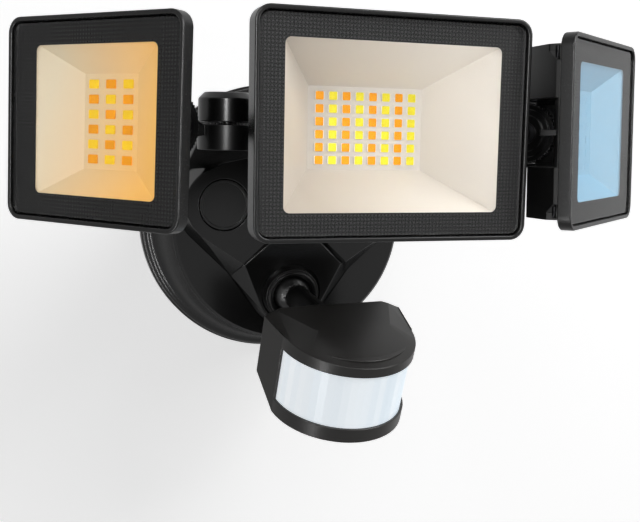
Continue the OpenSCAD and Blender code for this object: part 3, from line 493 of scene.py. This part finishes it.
def printed_border(head):
    """Ceramic ink: matt black with a grid of small raised dots, 1.5 mm apart, a little lighter
    than the ground between them."""
    pitch, dot_foot, dot_top, dot_height = 1.5 * mm, 0.6, 1.4, 0.05 * mm
    material = new_material(f"dotted black ink {head}")
    tree = material.node_tree
    axes = add(tree, "ShaderNodeSeparateXYZ", (), {0: own_axes(tree, lamp_place(head))})
    waves = []
    for name in ("X", "Z"):
        turns = add(tree, "ShaderNodeMath", {"operation": "MULTIPLY", 1: math.tau / pitch},
                    {0: axes.outputs[name]})
        waves.append(add(tree, "ShaderNodeMath", {"operation": "COSINE"}, {0: turns.outputs[0]}))
    both = add(tree, "ShaderNodeMath", {"operation": "ADD"},
               {0: waves[0].outputs[0], 1: waves[1].outputs[0]})
    dots = add(tree, "ShaderNodeMapRange", {"From Min": dot_foot, "From Max": dot_top},
               {"Value": both.outputs[0]})
    tint = add(tree, "ShaderNodeMix",
               {"data_type": "RGBA", 6: linear("#181818"), 7: linear("#363636")},
               {0: dots.outputs[0]})
    relief = add(tree, "ShaderNodeBump", {"Strength": 0.5, "Distance": dot_height},
                 {"Height": dots.outputs[0]})
    surface = add(tree, "ShaderNodeBsdfPrincipled",
                  {"Roughness": 0.5, "Specular IOR Level": 0.18},
                  {"Base Color": tint.outputs[2], "Normal": relief.outputs[0]})
    add(tree, "ShaderNodeOutputMaterial", (), {"Surface": surface.outputs[0]})
    return material


# The ink reaches a hair into the glass, so that no light gets between them.
ink_in_glass = Vector((0, -0.05 * mm, 0))
for head in heads:
    dress(clear, f"{head}_glass")
    dress(silicone, f"{head}_seal")
    ink = casting(f"{head}_mask")
    ink.data.transform(Matrix.Translation(lamp_place(head).to_3x3() @ ink_in_glass))
    finish(ink, f"{head}_printed_border", printed_border(head), f"{head}_lamp",
           [f"{head}_mask"])

# ---- reflectors and LED boards ----
# A moulded white funnel leads from the glass to the board. The left lamp burns warm, the centre
# one neutral and the right one cool, and each funnel and board has a painted glow in that colour,
# which changes across it as painted light and shade.

# Painted light: each funnel's painted glow runs from its first colour to its second, with the lean
# and reach of its painted shade.
painted_light_colours = {"left": ("#cfc1a4", "#f2bb60"), "centre": ("#a69e93", "#dfd9d0"),
                "right": ("#5d8ca6", "#6597b1")}
painted_light_reach = {"left": 30 * mm, "centre": 45 * mm, "right": 30 * mm}
painted_light_lean = {"left": -0.3, "centre": 0.5, "right": 0.0}


def lamp_glow_painted(name, head):
    """Plastic with a painted glow that stands for its lamp's light, painted from the first colour
    at the lamp's left to the second at its right, as painted light and shade. The change leans, and
    it is complete at the reach from the middle."""
    colours, reach = painted_light_colours[head], painted_light_reach[head]
    material = new_material(name)
    tree = material.node_tree
    axes = add(tree, "ShaderNodeSeparateXYZ", (), {0: own_axes(tree, lamp_place(head))})
    fall = add(tree, "ShaderNodeMath", {"operation": "MULTIPLY_ADD", 1: painted_light_lean[head]},
               {0: axes.outputs["Z"], 2: axes.outputs["X"]})
    across = add(tree, "ShaderNodeMapRange", {"From Min": -reach, "From Max": reach},
                 {"Value": fall.outputs[0]})
    tint = add(tree, "ShaderNodeMix",
               {"data_type": "RGBA", 6: linear(colours[0]), 7: linear(colours[1])},
               {0: across.outputs[0]})
    # The emission is a painted glow, and the funnel is no lamp.
    surface = add(tree, "ShaderNodeBsdfPrincipled", {"Roughness": 0.4, "Emission Strength": 0.16},
                  {"Base Color": tint.outputs[2], "Emission Color": tint.outputs[2]})
    add(tree, "ShaderNodeOutputMaterial", (), {"Surface": surface.outputs[0]})
    return material


for head in heads:
    funnel = lamp_glow_painted(f"white funnel with painted glow {head}", head)
    dress(funnel, f"{head}_reflector", f"{head}_led_board")

# ---- LEDs ----
# Surface-mount LEDs are small packages with a sunk window of phosphor, orange for warm light and
# yellow for cool light. They stand in columns in the centre lamp and in a chequer in the others.

led_w = {"left": 5 * mm, "centre": 4 * mm, "right": 4 * mm}
led_h = 3.5 * mm
led_thick = {"left": 0.4 * mm, "centre": 0.7 * mm, "right": 0.15 * mm}
led_rim = {"left": 0.08 * mm, "centre": 0.2 * mm, "right": 0.08 * mm}
led_round, window_sunk = 0.4 * mm, 0.3
board_depth = {"left": 13 * mm, "centre": 37 * mm, "right": 13 * mm}
led_grid = {"left": (3, 6), "centre": (8, 6), "right": (3, 6)}
led_pitch = {"left": (9.2 * mm, 5.9 * mm), "centre": (6 * mm, 5.4 * mm),
             "right": (9.2 * mm, 5.9 * mm)}


def phosphor(name, colours, glow):
    """Phosphor in clear silicone: a mesh of bright grains in a deeper colour. The real grains
    are finer, and these are 0.8 mm so that they show."""
    grain = 0.8 * mm
    material = new_material(name)
    tree = material.node_tree
    place = add(tree, "ShaderNodeTexCoord").outputs["Object"]
    grains = add(tree, "ShaderNodeTexVoronoi", {"Scale": 1 / grain}, {"Vector": place})
    tint = add(tree, "ShaderNodeMix",
               {"data_type": "RGBA", 6: linear(colours[0]), 7: linear(colours[1])},
               {0: grains.outputs["Distance"]})
    surface = add(tree, "ShaderNodeBsdfPrincipled",
                  {"Roughness": 0.6, "Specular IOR Level": 0.2, "Emission Strength": glow},
                  {"Base Color": tint.outputs[2], "Emission Color": tint.outputs[2]})
    add(tree, "ShaderNodeOutputMaterial", (), {"Surface": surface.outputs[0]})
    return material


# A package is smooth creamy white. In the side lamps it is painted with the light of its lamp: the
# whole package is painted orange or amber like its window at the left, and painted with the
# funnel's blue glow at the right.
package = coated("white LED package", ("#efe9dc", "#f4efe4"), (0.3, 0.4), 0.4 * mm, 0.002 * mm)
warm_phosphor = phosphor("orange phosphor", ("#ee9600", "#f6a604"), 0.1)
cool_phosphor = phosphor("yellow phosphor", ("#e8d820", "#f4e83c"), 0.08)
amber_phosphor = phosphor("amber phosphor", ("#f6c60c", "#fcd428"), 0.1)
right_chips_painted_glow = lamp_glow_painted("LED package painted with the blue glow", "right")
# In the side lamps the whole package is painted with its lamp's light.
led_finish = {"left": {"warm": (warm_phosphor, warm_phosphor),
                       "cool": (amber_phosphor, amber_phosphor)},
              "centre": {"warm": (package, warm_phosphor), "cool": (package, cool_phosphor)},
              "right": {"warm": (right_chips_painted_glow, right_chips_painted_glow),
                        "cool": (right_chips_painted_glow, right_chips_painted_glow)}}


def led_chip(case, window, width, thick, rim):
    """One package about its own middle, with its window towards the glass."""
    bpy.ops.mesh.primitive_cube_add(size=1, scale=(width, thick, led_h))
    bpy.ops.object.transform_apply(location=True, rotation=True, scale=True)
    bpy.ops.object.mode_set(mode="EDIT")
    pick(edges=along_y)
    bpy.ops.mesh.bevel(offset=led_round, segments=2, affect="EDGES")
    pick(faces=facing(-1))
    bpy.ops.mesh.inset(thickness=rim)
    bpy.ops.mesh.extrude_region_move(
        TRANSFORM_OT_translate={"value": (0, window_sunk * thick, 0)})
    bpy.ops.object.mode_set(mode="OBJECT")
    chip = bpy.context.object
    chip.data.materials.append(case)
    chip.data.materials.append(window)
    in_front = facing(-1)
    for face in chip.data.polygons:
        in_middle = abs(face.center.x) < 10 * touching
        face.material_index = int(in_front(face.center, face.normal) and in_middle)
    return chip


def led_places(head, warm):
    """Where the warm or the cool LEDs of a lamp stand, from the middle of its glass."""
    columns, rows = led_grid[head]
    step_x, step_z = led_pitch[head]
    side = -1 if head == "right" else 1
    places = []
    for c in range(columns):
        for r in range(rows):
            order = c if head == "centre" else c + r
            if (order % 2 == 0) == warm:
                places.append(Vector((side * (c - (columns - 1) / 2) * step_x,
                                      board_depth[head] - glass_mid - led_thick[head] / 2,
                                      (r - (rows - 1) / 2) * step_z)))
    return places


for head in heads:
    for kind, slot in (("warm", "led_orange"), ("cool", "led_yellow")):
        chip = led_chip(*led_finish[head][kind], led_w[head], led_thick[head], led_rim[head])
        places = led_places(head, kind == "warm")
        copies = []
        for place in places[1:]:
            copy = bpy.data.objects.new("chip", chip.data.copy())
            scene.collection.objects.link(copy)
            copy.data.transform(Matrix.Translation(place))
            copies.append(copy)
        chip.data.transform(Matrix.Translation(places[0]))
        for copy in copies:
            copy.select_set(True)
        bpy.ops.object.join()
        chip.data.transform(lamp_place(head))
        chip.name = chip.data.name = f"{head}_{kind}_chips"
        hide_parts(f"{head}_{kind}_leds")
        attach(chip, f"{head}_lamp")
        chip.select_set(False)

# ---- motion sensor ----
# The head is moulded in dark grey plastic: a shell with a visor over a milky lens, and a back
# that holds the hinge and three small dials underneath.

lens_r, lens_h, lens_mid, lens_sides = 32.5 * mm, 29.4 * mm, -1.2 * mm, 56
lens_wall = 1.2 * mm
rim_z, crown_z, near = 19.7 * mm, 24 * mm, 0.1 * mm
sensor_lean, pin_to_lens = math.radians(17), Vector((0, -26.2, -12)) * mm
pin = hinges["sensor_tilt"]
sensor_place = (Matrix.Translation(Vector(pin["pos_m"]))
                @ Matrix.Rotation(math.atan2(pin["axis"][1], pin["axis"][0]), 4, "Z")
                @ Matrix.Rotation(sensor_lean, 4, "X")
                @ Matrix.Translation(pin_to_lens))
# ABS from a fine-blasted mould has a soft, even sheen.
sensor_grey = coated("semi-gloss dark grey ABS", ("#2c2a28", "#32302e"), (0.3, 0.38), 0.6 * mm,
                     0.004 * mm)


def pick_points(test):
    """Selects only the points of the edited mesh that pass a test."""
    bpy.ops.mesh.select_mode(type="VERT")
    work = bmesh.from_edit_mesh(bpy.context.object.data)
    for point in work.verts:
        point.select = test(point.co)
    work.select_flush_mode()
    bmesh.update_edit_mesh(bpy.context.object.data)


# The visor slopes: its rim dips in front, and a flat crown begins well behind it.
visor_dip, dip_from, crown_share = math.radians(-4), (0, -6 * mm, rim_z), 0.5
hood = casting("sensor_shell")
hood.data.transform(sensor_place.inverted())
bpy.ops.object.mode_set(mode="EDIT")
pick_points(lambda at: abs(at.z - rim_z) < near and math.hypot(at.x, at.y) > lens_r + 1 * mm)
bpy.ops.transform.rotate(value=visor_dip, orient_axis="X", center_override=dip_from)
pick_points(lambda at: abs(at.z - crown_z) < near and at.y < 0)
bpy.ops.transform.resize(value=(1, crown_share, 1), center_override=(0, 0, crown_z))
bpy.ops.object.mode_set(mode="OBJECT")
hood.data.transform(sensor_place)
finish(hood, "sensor_hood", sensor_grey, "sensor_head", ["sensor_shell"],
       0.4 * mm, smooth=12)
finish(casting("sensor_back"), "sensor_rear", sensor_grey, "sensor_head",
       ["sensor_back"], 0.3 * mm)

# The lens is a bent strip of milky polyethylene, which spreads light. Its pale, even glow is
# painted, as the lens is no lamp. Its upright segments, 3.6 mm wide, differ a little in tone at
# random, and a painted shade darkens them towards the right.
lens_edge, painted_shade_share, chance_share = 1.2, 0.6, 0.4
milky = new_material("polyethylene lens with painted glow")
tree = milky.node_tree
axes = add(tree, "ShaderNodeSeparateXYZ", (), {0: own_axes(tree, sensor_place)})
ahead_y = add(tree, "ShaderNodeMath", {"operation": "MULTIPLY", 1: -1.0}, {0: axes.outputs["Y"]})
around = add(tree, "ShaderNodeMath", {"operation": "ARCTAN2"},
             {0: axes.outputs["X"], 1: ahead_y.outputs[0]})
count = add(tree, "ShaderNodeMath", {"operation": "MULTIPLY", 1: lens_sides / math.tau},
            {0: around.outputs[0]})
segment = add(tree, "ShaderNodeMath", {"operation": "FLOOR"}, {0: count.outputs[0]})
chance = add(tree, "ShaderNodeTexWhiteNoise", {"noise_dimensions": "1D"},
             {"W": segment.outputs[0]})
# Painted shade: the lens darkens towards its right.
turned = add(tree, "ShaderNodeMapRange",
             {"From Min": -lens_edge, "From Max": lens_edge, "To Min": 0.0, "To Max": painted_shade_share},
             {"Value": around.outputs[0]})
shade = add(tree, "ShaderNodeMath", {"operation": "MULTIPLY_ADD", 1: chance_share},
            {0: chance.outputs["Value"], 2: turned.outputs[0]})
tint = add(tree, "ShaderNodeMix",
           {"data_type": "RGBA", 6: linear("#f4f8fb"), 7: linear("#d2e0ea")},
           {0: shade.outputs[0]})
# The emission is a painted glow.
surface = add(tree, "ShaderNodeBsdfPrincipled", {"Roughness": 0.3, "Emission Strength": 0.68},
              {"Base Color": tint.outputs[2], "Emission Color": tint.outputs[2]})
add(tree, "ShaderNodeOutputMaterial", (), {"Surface": surface.outputs[0]})
bpy.ops.mesh.primitive_cylinder_add(vertices=lens_sides, radius=lens_r, depth=lens_h,
                                    end_fill_type="NOTHING", location=(0, 0, lens_mid))
bpy.ops.object.transform_apply(location=True, rotation=True, scale=True)
lens = bpy.context.object
bpy.ops.object.mode_set(mode="EDIT")
pick(faces=lambda centre, normal: centre.y > 0)
bpy.ops.mesh.delete(type="FACE")
bpy.ops.object.mode_set(mode="OBJECT")
thickness = lens.modifiers.new("thickness", "SOLIDIFY")
thickness.thickness = lens_wall
thickness.offset = -1
bpy.ops.object.modifier_apply(modifier=thickness.name)
lens.data.transform(sensor_place)
finish(lens, "segmented_lens", milky, "sensor_head", ["sensor_lens"], smooth=3)

# The dials are ABS with a matt, spark-eroded skin that gives no clear highlight.
dial_grey = coated("matt dark grey ABS", ("#2b2b2b", "#333333"), (0.5, 0.6), 0.5 * mm, 0.01 * mm)
for dial in ("time", "light", "range"):
    finish(casting(f"{dial}_dial"), f"{dial}_knob", dial_grey, f"{dial}_dial",
           [f"{dial}_dial"], 0.25 * mm)
